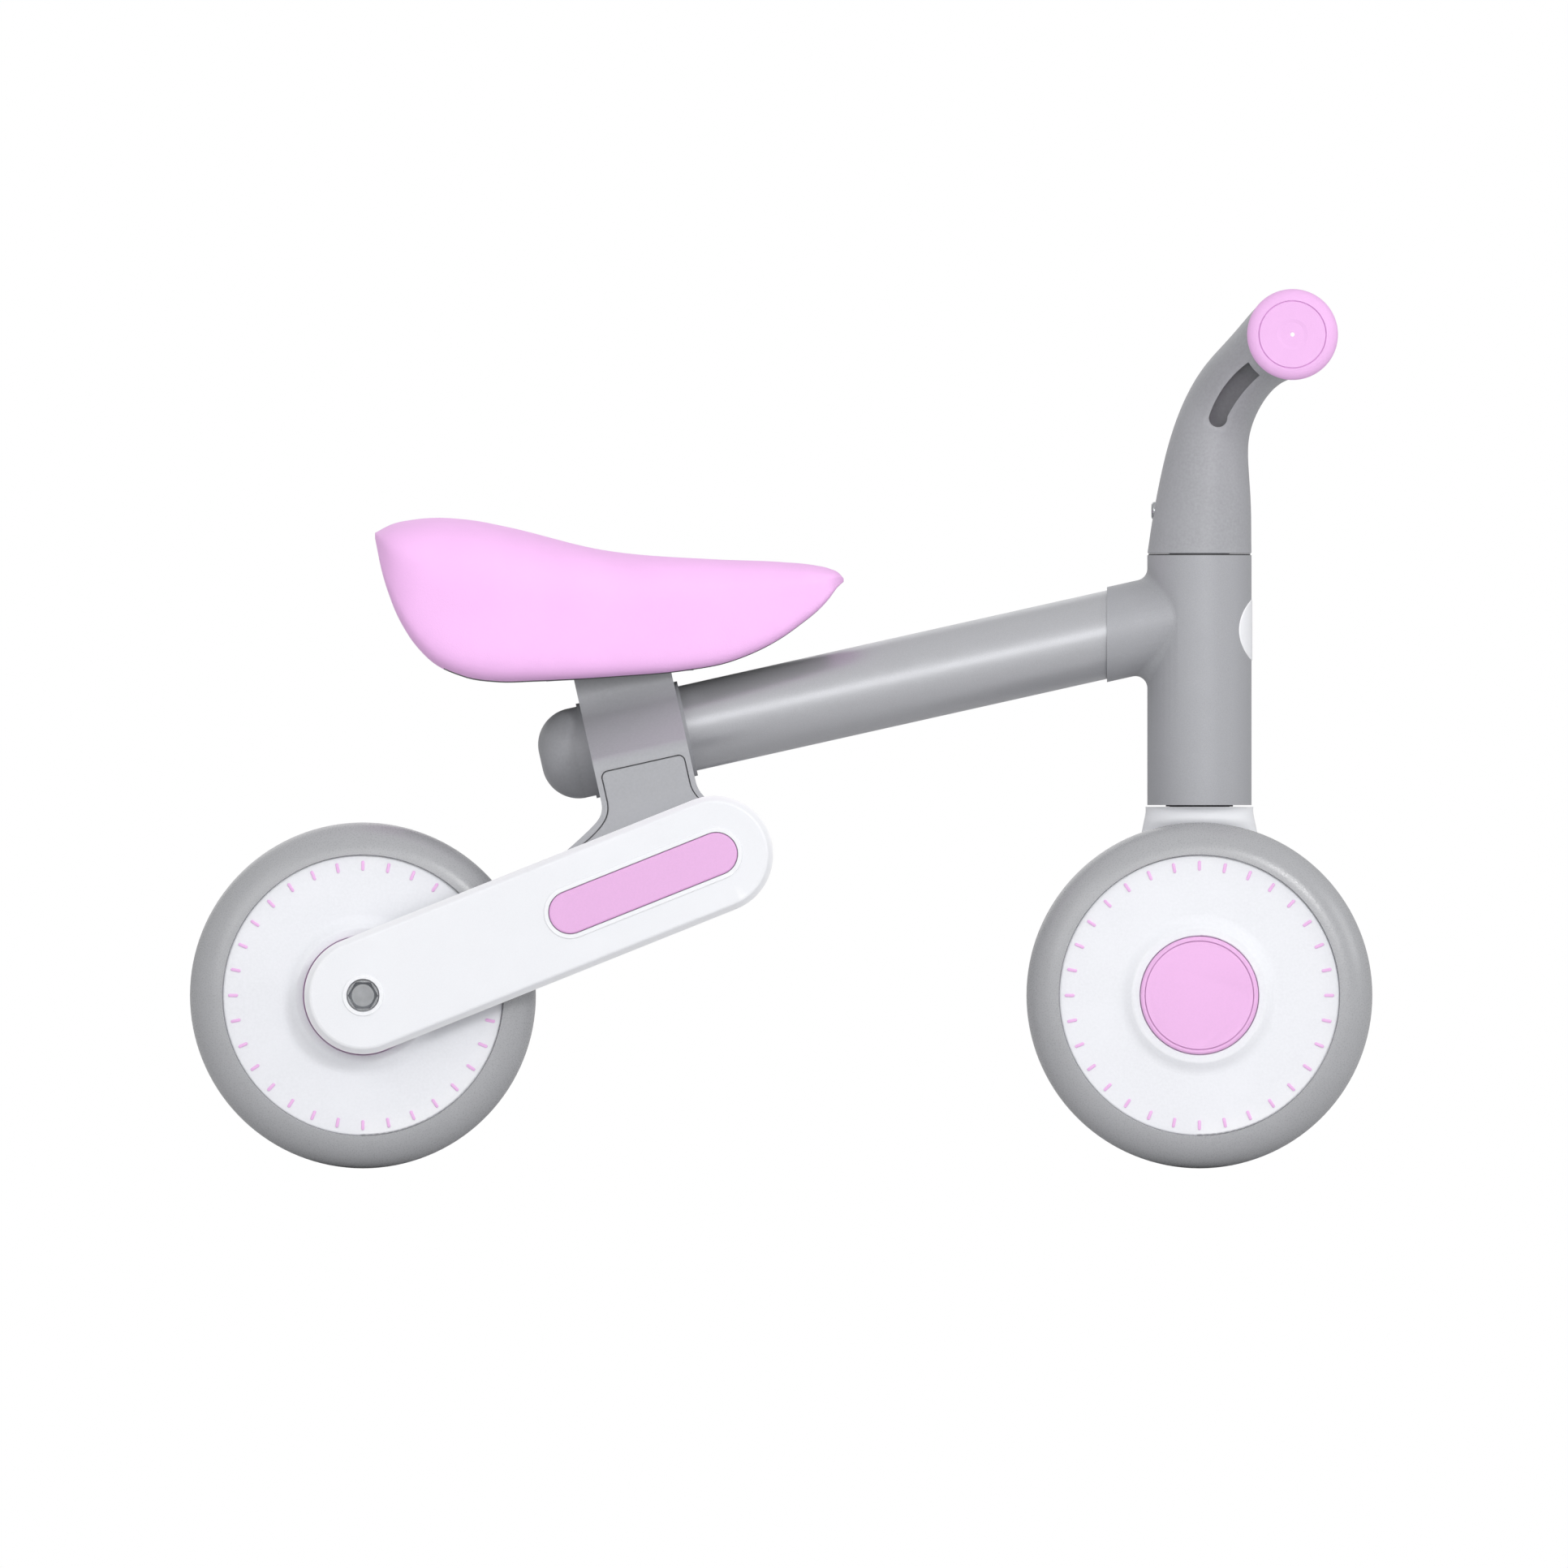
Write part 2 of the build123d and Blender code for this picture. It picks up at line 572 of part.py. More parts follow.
def foot_point(centre, radius, angle):
    """A point of a foot's round end, the angle counted from the arm's direction."""
    turned = radians(angle + FOOT_TURN)
    return (centre.X + radius * cos(turned), centre.Y + radius * sin(turned))


def yoke_side(top, inset):
    """Outline of the yoke seen from the side, drawn inset by a margin; needs a BuildLine."""
    half, radius = YOKE_HALF - inset, FOOT_R - inset
    waist = -22.5
    rear_join, front_join = foot_point(FOOT_REAR, radius, 126), foot_point(FOOT_FRONT, radius, 51)
    hip = (-half - 5.6, waist - 9.0 - inset * 0.6)
    haunch = (-39.8 + inset * 0.6, -39.6 - inset * 0.8)
    Polyline((-half, waist), (-half, top), (half, top), (half, waist))
    Spline((-half, waist), hip, haunch, rear_join, tangents=[(0, -1), (-0.7, -0.7)])
    ThreePointArc(rear_join, foot_point(FOOT_REAR, radius, 190), foot_point(FOOT_REAR, radius, 270))
    Line(foot_point(FOOT_REAR, radius, 270), foot_point(FOOT_FRONT, radius, 270))
    ThreePointArc(foot_point(FOOT_FRONT, radius, 270), foot_point(FOOT_FRONT, radius, 350), front_join)
    Spline(front_join, (half + 2.0, waist - 6.9), (half, waist), tangents=[(-0.87, 0.5), (0, 1)])


def panel_blank(margin):
    """The outline of a side panel, grown by a margin, through the panel's thickness."""
    with BuildPart() as blank:
        with BuildSketch(YOKE_SIDE.offset(LEG_OUT)):
            with BuildLine():
                yoke_side(PANEL_TOP + margin, PANEL_INSET - margin)
            make_face()
        extrude(amount=-PANEL_THICK)
        top_corners = blank.edges().filter_by(Axis.Y).sort_by(Axis(YOKE_AT, YOKE_SIDE.y_dir))[-2:]
        fillet(top_corners, 2.5 + margin)
    return blank.part


def side_panel():
    """Flat cover let into the outer face of a yoke leg, behind the arm, with eased edges."""
    with BuildPart() as panel:
        add(panel_blank(0))
        add(arm_holes(BOLT_R + 0.1, LEG_IN, 20), mode=Mode.SUBTRACT)
        outer = panel.faces().sort_by(Axis.Y)[0]
        chamfer(outer.outer_wire().edges(), 0.3)
    return panel.part


def arm_holes(radius, start, amount):
    """Two cylinders at the right arm's bolt holes, from start outwards."""
    with BuildPart() as holes:
        with BuildSketch(ARM_SIDE.offset(start)):
            with Locations(*[(s, 0) for s in ARM_BOLT_AT]):
                Circle(radius)
        extrude(amount=amount)
    return holes.part


def yoke_clamp():
    """The one-piece yoke: a neck round the tube, an arch and two legs."""
    neck_half, shoulder, reach = 19.0, 17.0, 40.0
    panel_seat = panel_blank(PANEL_GAP)
    front_outline = [
        (0, ARCH_TOP), (LEG_IN, ARCH_TOP), (LEG_IN, -100), (LEG_OUT, -100), (LEG_OUT, -5.6),
        (neck_half, shoulder), (neck_half, reach), (0, reach),
    ]
    with BuildPart() as yoke:
        with BuildSketch(YOKE_SIDE):
            with BuildLine():
                yoke_side(reach, 0)
            make_face()
        extrude(amount=LEG_OUT, both=True)
        with BuildSketch(YOKE_FRONT.offset(-80)):
            with BuildLine() as outline:
                FilletPolyline(*front_outline, radius=[9, 0.01, 0.01, 6, 12, 0.01], close=False)
                mirror(outline.line, about=Plane.YZ)
            make_face()
        extrude(amount=160, mode=Mode.INTERSECT)
        # moulding cores either side of the tube, open downwards
        with BuildSketch(YOKE_UP.offset(ARCH_TOP)):
            with Locations((-35.5, 0), (35.5, 0)):
                RectangleRounded(20, 30, 3)
        extrude(amount=16.0, mode=Mode.SUBTRACT)
        with BuildSketch(YOKE_FRONT):
            Circle(LINER_R)
        extrude(amount=80, both=True, mode=Mode.SUBTRACT)
        # flat top with a raised bed that the saddle's plate is screwed to
        with BuildSketch(SEAT_PLANE.offset(BED_LOW)):
            Rectangle(200, 200)
        extrude(amount=50, mode=Mode.SUBTRACT)
        with BuildSketch(SEAT_PLANE.offset(BED_LOW)):
            RectangleRounded(66, 44, 6)
            with GridLocations(*SEAT_SCREW_PITCH, 2, 2):
                Circle(2.6, mode=Mode.SUBTRACT)
        extrude(amount=BASE_LOW - BED_LOW)
        with BuildSketch(YOKE_UP):
            Circle(YOKE_BOLT_R)
        extrude(amount=29, both=True, mode=Mode.SUBTRACT)
        add([panel_seat, mirror(panel_seat, about=Plane.XZ)], mode=Mode.SUBTRACT)
        with BuildSketch(ARM_SIDE):
            with Locations(*[(s, 0) for s in ARM_BOLT_AT]):
                Circle(BOLT_R + 0.1)
        extrude(amount=80, both=True, mode=Mode.SUBTRACT)
    return yoke.part


def yoke_liners():
    """Two flanged sleeves between the yoke and the tube."""
    with BuildPart() as liners:
        for start, way in ((-YOKE_HALF, 1), (YOKE_HALF, -1)):
            face = YOKE_FRONT.offset(start)
            add(ring(face, LINER_R, TUBE_R, way * (YOKE_HALF - 4.0)))
            add(ring(face, LINER_FLANGE_R, TUBE_R, -way * LINER_FLANGE))
    return liners.part


def yoke_bolt():
    """Socket bolt from below, through the arch and the tube."""
    head_height, tip = 4.0, 28.0
    with BuildPart() as bolt:
        with BuildSketch(YOKE_UP.offset(ARCH_TOP)):
            Circle(5.0)
        extrude(amount=-head_height)
        fillet(bolt.edges().sort_by(Axis(YOKE_AT, YOKE_UP.z_dir))[0], 1.6)
        with BuildSketch(YOKE_UP.offset(ARCH_TOP - head_height)):
            RegularPolygon(2.4, 6)
        extrude(amount=2.2, mode=Mode.SUBTRACT)
        with BuildSketch(YOKE_UP.offset(ARCH_TOP)):
            Circle(YOKE_BOLT_R)
        extrude(amount=tip - ARCH_TOP)
    return bolt.part


def make_yoke():
    save(yoke_clamp(), "yoke")
    save_pair(side_panel(), "side_panel")
    save(yoke_liners(), "yoke_liners")
    save(yoke_bolt(), "yoke_bolt")


# ---- side arms ----
ARM_OUT = ARM_IN + ARM_THICK
LIP_WIDTH, LIP_RISE = 2.2, 0.5
ARM_BOLT_SEAT = ARM_OUT - INSERT_DEPTH - 4.3  # under the insert
ARM_BOLT_HEAD_R = 5.0


def side_arm():
    """Moulded arm from the rear axle to the yoke, with a slot for the insert."""
    with BuildPart() as arm:
        with BuildSketch(ARM_SIDE.offset(ARM_IN)):
            with Locations((ARM_LENGTH / 2, 0)):
                SlotCenterToCenter(ARM_LENGTH, 2 * ARM_R)
        extrude(amount=ARM_THICK)
        chamfer(arm.faces().sort_by(Axis.Y)[0].edges(), 3.2, 2.4)
        fillet(arm.faces().sort_by(Axis.Y)[0].edges(), 1.6)
        # raised lips round the insert and the axle bolt
        with BuildSketch(ARM_SIDE.offset(ARM_OUT)):
            with Locations((INSERT_AT, 0)):
                SlotOverall(INSERT_LENGTH + 2 * LIP_WIDTH, 2 * (INSERT_R + LIP_WIDTH))
            Circle(8.8)
        extrude(amount=LIP_RISE)
        fillet(arm.faces().sort_by(Axis.Y)[:2].edges(), 0.4)
        with BuildSketch(ARM_SIDE.offset(ARM_OUT + 1)):
            with Locations((INSERT_AT, 0)):
                SlotOverall(INSERT_LENGTH + 0.5, 2 * INSERT_R + 0.5)
        extrude(amount=-INSERT_DEPTH - 1, mode=Mode.SUBTRACT)
        with BuildSketch(ARM_SIDE.offset(ARM_OUT + 1)):
            Circle(7.0)
        extrude(amount=-ARM_BORE_DEPTH - 1, mode=Mode.SUBTRACT)
        with BuildSketch(ARM_SIDE.offset(ARM_IN)):
            Circle(BOLT_R + 0.1)
        extrude(amount=ARM_THICK, mode=Mode.SUBTRACT)
        add(arm_holes(ARM_BOLT_HEAD_R + 0.2, ARM_BOLT_SEAT, 6), mode=Mode.SUBTRACT)
        add(arm_holes(BOLT_R + 0.1, ARM_IN, 10), mode=Mode.SUBTRACT)
        # ribbed hollow on the inner side, behind the wheel
        with BuildSketch(ARM_SIDE.offset(ARM_IN)):
            with Locations((30, 0), (48, 0), (66, 0)):
                RectangleRounded(15, 38, 2.5)
        extrude(amount=9.5, mode=Mode.SUBTRACT)
    return arm.part


def arm_insert():
    with BuildPart() as insert:
        with BuildSketch(ARM_SIDE.offset(ARM_OUT - INSERT_DEPTH)):
            with Locations((INSERT_AT, 0)):
                SlotOverall(INSERT_LENGTH, 2 * INSERT_R)
        extrude(amount=INSERT_DEPTH + 0.4)
        fillet(insert.faces().sort_by(Axis.Y)[0].edges(), 0.9)
    return insert.part


def arm_bolts():
    head_height, socket_depth = 4.0, 2.8
    shank_start = ARM_BOLT_SEAT + head_height - socket_depth
    with BuildPart() as bolts:
        for side in (-1, 1):
            centre = (REAR_X, side * ARM_BOLT_SEAT, AXLE_Z)
            seat = Plane(centre, x_dir=ARM_DIR, z_dir=(0, side, 0))
            with BuildSketch(seat):
                with Locations(*[(s, 0) for s in ARM_BOLT_AT]):
                    Circle(ARM_BOLT_HEAD_R)
                    RegularPolygon(2.9, 6, mode=Mode.SUBTRACT)
            extrude(amount=head_height)
            with BuildSketch(seat.offset(shank_start - ARM_BOLT_SEAT)):
                with Locations(*[(s, 0) for s in ARM_BOLT_AT]):
                    Circle(BOLT_R)
            extrude(amount=LEG_IN - NUT_HEIGHT - 2 - shank_start)
    return bolts.part


def arm_nuts():
    with BuildPart() as nuts:
        for side in (-1, 1):
            centre = (REAR_X, side * LEG_IN, AXLE_Z)
            with BuildSketch(Plane(centre, x_dir=ARM_DIR, z_dir=(0, side, 0))):
                with Locations(*[(s, 0) for s in ARM_BOLT_AT]):
                    RegularPolygon(5.0, 6, major_radius=False)
                    Circle(BOLT_R, mode=Mode.SUBTRACT)
            extrude(amount=-NUT_HEIGHT)
    return nuts.part


def make_arms():
    save_pair(side_arm(), "arm")
    save_pair(arm_insert(), "arm_insert")
    save(arm_bolts(), "arm_bolts")
    save(arm_nuts(), "arm_nuts")


# ---- saddle ----
SEAT_SCREW_R = 2.1
# X, top height, bottom height, half width
SEAT_SECTIONS = [
    (-170.6, 269.2, 264.6, 26.0), (-165.0, 271.8, 241.0, 43.0), (-151.0, 273.9, 217.2, 54.0),
    (-130.0, 273.5, 206.4, 58.0), (-103.0, 267.4, 205.2, 55.0), (-75.0, 260.7, 206.9, 46.0),
    (-41.0, 257.8, 209.9, 34.5), (-7.0, 256.2, 219.8, 27.5), (13.0, 254.7, 233.4, 20.5),
    (23.0, 252.2, 244.6, 11.5), (26.4, 250.0, 247.4, 4.0),
]
BASE_LENGTH, BASE_WIDTH, BASE_ROUND = 88.0, 50.0, 16.0  # plate moulded into the foam


def seat_base():
    with BuildPart() as base:
        with BuildSketch(SEAT_PLANE.offset(BASE_LOW)):
            RectangleRounded(BASE_LENGTH, BASE_WIDTH, BASE_ROUND)
            with GridLocations(*SEAT_SCREW_PITCH, 2, 2):
                Circle(SEAT_SCREW_R, mode=Mode.SUBTRACT)
        extrude(amount=BASE_HIGH - BASE_LOW)
    return base.part


def seat_pad():
    """The foam's outer shape, with a recess for the plate and the yoke's bed."""
    with BuildPart() as pad:
        for x, top, bottom, half in SEAT_SECTIONS:
            with BuildSketch(Plane((x, 0, (top + bottom) / 2), x_dir=(0, 1, 0), z_dir=(1, 0, 0))):
                Ellipse(half, (top - bottom) / 2)
        loft()
        with BuildSketch(SEAT_PLANE.offset(BASE_LOW)):
            RectangleRounded(BASE_LENGTH, BASE_WIDTH, BASE_ROUND)
        extrude(amount=BASE_HIGH - BASE_LOW, mode=Mode.SUBTRACT)
        with BuildSketch(SEAT_PLANE.offset(-10)):
            RectangleRounded(70, 48, 8)
        extrude(amount=BASE_LOW + 10, mode=Mode.SUBTRACT)
        with BuildSketch(SEAT_PLANE.offset(BASE_HIGH)):
            with GridLocations(*SEAT_SCREW_PITCH, 2, 2):
                Circle(SEAT_SCREW_R + 0.3)
        extrude(amount=4, mode=Mode.SUBTRACT)
    return pad.part


def seat_screws():
    """Cross-head screws from below, through the yoke's bed into the plate."""
    head = SEAT_PLANE.offset(0.3)
    with BuildPart() as screws:
        with BuildSketch(head):
            with GridLocations(*SEAT_SCREW_PITCH, 2, 2):
                Circle(2 * SEAT_SCREW_R)
        extrude(amount=BED_LOW - 0.3)
        with BuildSketch(head):
            with GridLocations(*SEAT_SCREW_PITCH, 2, 2):
                Rectangle(4.2, 1.0)
                Rectangle(1.0, 4.2)
        extrude(amount=1.2, mode=Mode.SUBTRACT)
        with BuildSketch(SEAT_PLANE.offset(BED_LOW)):
            with GridLocations(*SEAT_SCREW_PITCH, 2, 2):
                Circle(SEAT_SCREW_R)
        extrude(amount=9.5)
    return screws.part


def make_seat():
    save(seat_base(), "seat_base")
    save(seat_pad(), "seat_pad")
    save(seat_screws(), "seat_screws")


# ---- handlebar ----
# stem: X, height, lean from upright in degrees, half depth fore and aft, half width
STEM_SECTIONS = [
    (176.5, 259.5, 0, 22.0, 22.0), (176.9, 265.0, 1, 21.5, 21.7), (177.4, 271.5, 2, 21.0, 21.2),
    (178.4, 284.0, 3, 19.7, 20.4), (180.3, 303.0, 10, 17.0, 19.0),
    (184.3, 318.0, 27, 15.4, 18.2), (191.2, 331.0, 38, 14.5, 18.4), (202.2, 342.7, 44, 14.9, 19.6),
    (215.8, 354.4, 48, 14.0, 22.0),
]
BARREL_R, BARREL_HALF = 16.8, 27.0
POCKET_CLEAR, POCKET_FLOOR = 22.0, 6.0  # from the bar's axis, and from the centre plane
POCKET_EDGES = [  # curved slot in each side of the stem: one edge, the round foot, the other edge
    [(199.0, 341.5), (186.6, 329.5), (180.5, 317.2)],
    [(180.5, 317.2), (184.1, 312.8), (188.3, 317.2)],
    [(188.3, 317.2), (193.8, 326.0), (204.0, 336.3)],
]
SPRING_WIDTH, SPRING_THICK = 8.0, 0.8
BAR_PLANE = Plane((BAR_X, 0, BAR_Z), x_dir=(1, 0, 0), z_dir=(0, -1, 0))


def spring_clip():
    """V-shaped leaf spring inside the steerer that holds the button out."""
    near, far = FRONT_X - 7.4, FRONT_X + 9.0
    with BuildPart() as spring:
        with BuildSketch(Plane.XZ):
            with BuildLine() as path:
                FilletPolyline((near, 284.0), (near, 262.0), (FRONT_X + 0.8, 250.0), (far, 262.0),
                               (far, 276.0), radius=3.0)
            trace(path.line, SPRING_THICK)
        extrude(amount=SPRING_WIDTH / 2, both=True)
    return spring.part


def bar_stem():
    """Curved moulding from the steerer up to the barrel that holds the bar."""
    with BuildPart() as stem:
        for x, z, lean, deep, wide in STEM_SECTIONS:
            along, rise = sin(radians(lean)), cos(radians(lean))
            with BuildSketch(Plane((x, 0, z), x_dir=(rise, 0, -along), z_dir=(along, 0, rise))):
                Ellipse(deep, wide)
        loft()
        with BuildSketch(BAR_PLANE):
            Circle(BARREL_R)
        extrude(amount=BARREL_HALF, both=True)
        with BuildSketch(BAR_PLANE):
            Circle(BAR_R)
        extrude(amount=BARREL_HALF + 5, both=True, mode=Mode.SUBTRACT)
        with BuildSketch(Plane.XY.offset(HEAD_TOP)):
            with Locations((FRONT_X, 0)):
                Circle(STEERER_R)
        extrude(amount=STEERER_TOP - HEAD_TOP, mode=Mode.SUBTRACT)
        with BuildSketch(Plane.YZ):
            with Locations((0, BUTTON_Z)):
                Circle(BUTTON_R + SLIDING)
        extrude(amount=FRONT_X, mode=Mode.SUBTRACT)
        for side in (-1, 1):
            with BuildSketch(Plane.XZ.offset(side * POCKET_FLOOR)):
                with BuildLine():
                    for points in POCKET_EDGES:
                        ThreePointArc(*points)
                    Line(POCKET_EDGES[-1][-1], POCKET_EDGES[0][0])
                make_face()
                with Locations((BAR_X, BAR_Z)):
                    Circle(POCKET_CLEAR, mode=Mode.SUBTRACT)
            extrude(amount=side * 20, mode=Mode.SUBTRACT)
        fillet(stem.faces().sort_by(Axis.Z)[0].outer_wire().edges(), 0.6)
    return stem.part


def bar_grip():
    """Right-hand grip with a thin inner flange, a thick outer one and a closed end."""
    grip = revolved(
        [(BAR_R, 28.0), (16.4, 28.0), (16.4, 31.0), (13.9, 32.5), (14.6, 57.0), (13.9, 81.0),
         (19.2, 83.5), (19.2, 92.0), (14.4, 92.6), (14.4, 91.8), (13.9, 91.8), (13.9, 92.6),
         (6.5, 92.6), (5.0, 92.4), (0.9, 92.4), (0.9, BAR_HALF), (BAR_R, BAR_HALF)],
        rounded=[(1, 1.2), (2, 1.2), (3, 1.5), (5, 1.5), (6, 3.6), (7, 4.6)],
    )
    return Pos(BAR_X, 0, BAR_Z) * grip


def stem_button():
    """Round snap button with a flange that rests against the inside of the steerer."""
    start, shank, flange = 156.2, 11.2, 1.2
    with BuildPart() as button:
        with BuildSketch(Plane.YZ.offset(start)):
            with Locations((0, BUTTON_Z)):
                Circle(BUTTON_R)
        extrude(amount=shank)
        fillet(button.edges().sort_by(Axis.X)[0], 1.4)
        with BuildSketch(Plane.YZ.offset(start + shank)):
            with Locations((0, BUTTON_Z)):
                Circle(5.2)
        extrude(amount=flange)
    return button.part


def make_handlebar():
    save(bar_stem(), "stem")
    end = Plane((BAR_X, -BAR_HALF, BAR_Z), z_dir=(0, 1, 0))
    save(ring(end, BAR_R, BAR_R - BAR_WALL, 2 * BAR_HALF), "handlebar")
    save_pair(bar_grip(), "grip")
    save(stem_button(), "stem_button")
    save(spring_clip(), "button_spring")


os.makedirs("parts", exist_ok=True)
make_wheels()
make_axles()
make_fork()
make_frame_tube()
make_yoke()
make_arms()
make_seat()
make_handlebar()
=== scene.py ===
import json
import math

import bmesh
import bpy
from mathutils import Matrix, Vector


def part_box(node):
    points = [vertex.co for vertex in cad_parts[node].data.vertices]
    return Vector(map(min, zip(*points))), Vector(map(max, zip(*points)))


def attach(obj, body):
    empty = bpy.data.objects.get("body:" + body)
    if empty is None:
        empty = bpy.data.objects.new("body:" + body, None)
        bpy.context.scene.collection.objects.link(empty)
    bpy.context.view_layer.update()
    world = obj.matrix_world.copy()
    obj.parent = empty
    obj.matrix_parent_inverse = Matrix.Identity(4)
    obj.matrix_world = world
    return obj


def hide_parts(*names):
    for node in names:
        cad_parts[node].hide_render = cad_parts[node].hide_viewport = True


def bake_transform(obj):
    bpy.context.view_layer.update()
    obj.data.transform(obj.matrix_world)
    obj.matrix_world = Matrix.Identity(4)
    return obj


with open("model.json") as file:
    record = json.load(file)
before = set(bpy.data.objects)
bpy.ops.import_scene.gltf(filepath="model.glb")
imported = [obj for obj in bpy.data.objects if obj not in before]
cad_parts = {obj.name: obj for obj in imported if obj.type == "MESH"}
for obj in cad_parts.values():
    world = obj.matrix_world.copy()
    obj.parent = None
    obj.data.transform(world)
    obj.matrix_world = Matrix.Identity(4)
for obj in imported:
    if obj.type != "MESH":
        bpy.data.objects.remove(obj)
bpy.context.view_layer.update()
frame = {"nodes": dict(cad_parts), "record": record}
NODES = frame["nodes"]
MM = 0.001
LAMP_DISTANCE = 2.7


# ---------------------------------------------------------------- materials
# pointiness at which the painted highlight on convex edges starts and is full
EDGE_HIGHLIGHT_STARTS, EDGE_HIGHLIGHT_FULL = 0.505, 0.56  # pointiness, which is 0.5 on a flat face


class Nodes:
    """Short helpers for building one procedural material."""

    def __init__(self, name):
        self.material = bpy.data.materials.new(name)
        self.material.use_nodes = True
        self.tree = self.material.node_tree
        self.shader = self.tree.nodes["Principled BSDF"]
        self.where = self.add("ShaderNodeTexCoord").outputs["Object"]

    def add(self, kind, **facts):
        """A new node with the given properties."""
        node = self.tree.nodes.new(kind)
        for key, value in facts.items():
            setattr(node, key, value)
        return node

    def link(self, a, b):
        self.tree.links.new(a, b)
        return b

    def noise(self, size, detail=2.0, rough=0.5, squeeze=(1, 1, 1)):
        """Noise whose cells are about size metres across, drawn out by squeeze."""
        place = self.add("ShaderNodeMapping")
        place.inputs["Scale"].default_value = [1 / (size * s) for s in squeeze]
        self.link(self.where, place.inputs["Vector"])
        node = self.add("ShaderNodeTexNoise")
        node.inputs["Scale"].default_value = 1.0
        node.inputs["Detail"].default_value = detail
        node.inputs["Roughness"].default_value = rough
        self.link(place.outputs["Vector"], node.inputs["Vector"])
        return node.outputs["Fac"]

    def cells(self, size):
        """Distance to the nearest of many cell centres, about size metres apart."""
        node = self.add("ShaderNodeTexVoronoi")
        node.inputs["Scale"].default_value = 1 / size
        self.link(self.where, node.inputs["Vector"])
        return node.outputs["Distance"]

    def ramp(self, fac, low, high, start=0.3, end=0.7):
        """Turns a 0..1 field into a colour or a grey level between low and high."""
        node = self.add("ShaderNodeMapRange")
        node.inputs["From Min"].default_value = start
        node.inputs["From Max"].default_value = end
        self.link(fac, node.inputs["Value"])
        if isinstance(low, (int, float)):
            node.inputs["To Min"].default_value = low
            node.inputs["To Max"].default_value = high
            return node.outputs["Result"]
        mix = self.add("ShaderNodeMix", data_type="RGBA")
        self.link(node.outputs["Result"], mix.inputs["Factor"])
        mix.inputs["A"].default_value = (*low, 1)
        mix.inputs["B"].default_value = (*high, 1)
        return mix.outputs["Result"]

    def bump(self, height, depth, strength=1.0, under=None):
        node = self.add("ShaderNodeBump")
        node.inputs["Distance"].default_value = depth
        node.inputs["Strength"].default_value = strength
        self.link(height, node.inputs["Height"])
        if under is not None:
            self.link(under, node.inputs["Normal"])
        return node.outputs["Normal"]

    def edge_highlight(self, amount):
        """Grey level that rises to amount on convex edges: the mask of a painted highlight."""
        geometry = self.add("ShaderNodeNewGeometry")
        node = self.add("ShaderNodeMapRange")
        node.inputs["From Min"].default_value = EDGE_HIGHLIGHT_STARTS
        node.inputs["From Max"].default_value = EDGE_HIGHLIGHT_FULL
        node.inputs["To Max"].default_value = amount
        self.link(geometry.outputs["Pointiness"], node.inputs["Value"])
        return node.outputs["Result"]

    def mixed(self, a, b, fac):
        node = self.add("ShaderNodeMix", data_type="RGBA")
        self.link(fac, node.inputs["Factor"])
        self.link(a, node.inputs["A"])
        if isinstance(b, tuple):
            node.inputs["B"].default_value = (*b, 1)
        else:
            self.link(b, node.inputs["B"])
        return node.outputs["Result"]

    def done(self, colour, rough, normal=None, **sockets):
        """The material, with its fields linked and its even values set on the shader."""
        self.link(colour, self.shader.inputs["Base Color"])
        self.link(rough, self.shader.inputs["Roughness"])
        if normal is not None:
            self.link(normal, self.shader.inputs["Normal"])
        for key, value in sockets.items():
            self.shader.inputs[key.replace("_", " ")].default_value = value
        return self.material


def shade(colour, factor):
    return tuple(c * factor for c in colour)


def moulded(name, colour, grain, depth, rough, spread):
    """Injection-moulded plastic: fine spark-eroded grain, faint flow clouding, and a painted highlight on
    convex edges.
    """
    n = Nodes(name)
    fine, cloud = n.noise(grain, 3.0, 0.6), n.noise(28 * MM, 2.0)
    speck = n.ramp(n.noise(grain * 1.3, 1.0), shade(colour, 1 - spread), shade(colour, 1 + spread))
    tint = n.ramp(cloud, shade(colour, 0.97), shade(colour, 1.02))
    base = n.mixed(speck, tint, n.ramp(cloud, 0.35, 0.65))
    # painted highlight: convex edges turn lighter
    base = n.mixed(base, tuple(min(1, c * 1.25 + 0.02) for c in colour), n.edge_highlight(0.35))
    return n.done(base, n.ramp(fine, rough - 0.07, rough + 0.08), n.bump(fine, depth))


def foam(name, colour, cell, depth, rough, spread, **sockets):
    """Moulded foam skin: tiny closed cells pressed against the mould, and pores between them."""
    n = Nodes(name)
    cells = n.cells(cell)
    pores = n.noise(cell * 0.7, 3.0, 0.65)
    cloud = n.noise(22 * MM, 3.0)
    speck = n.ramp(pores, shade(colour, 1 - spread), shade(colour, 1 + spread))
    tint = n.ramp(cloud, shade(colour, 0.965), shade(colour, 1.03))
    base = n.mixed(speck, tint, n.ramp(cells, 0.3, 0.6, 0.0, 0.6))
    normal = n.bump(pores, depth * 0.6, under=n.bump(cells, depth))
    return n.done(base, n.ramp(pores, rough - 0.06, rough + 0.1), normal, **sockets)


def painted(name, colour, metallic, rough):
    """Satin metallic powder paint: fine flake and a faint orange-peel."""
    n = Nodes(name)
    flake, peel = n.noise(0.35 * MM, 2.0, 0.7), n.noise(1.8 * MM, 2.0)
    base = n.ramp(flake, shade(colour, 0.9), shade(colour, 1.1))
    # painted highlight: convex edges turn lighter
    base = n.mixed(base, shade(colour, 1.35), n.edge_highlight(0.25))
    normal = n.bump(flake, 0.006 * MM, under=n.bump(peel, 0.012 * MM))
    rough_map = n.ramp(n.noise(9 * MM, 3.0), rough - 0.03, rough + 0.05)
    return n.done(base, rough_map, normal, Metallic=metallic)


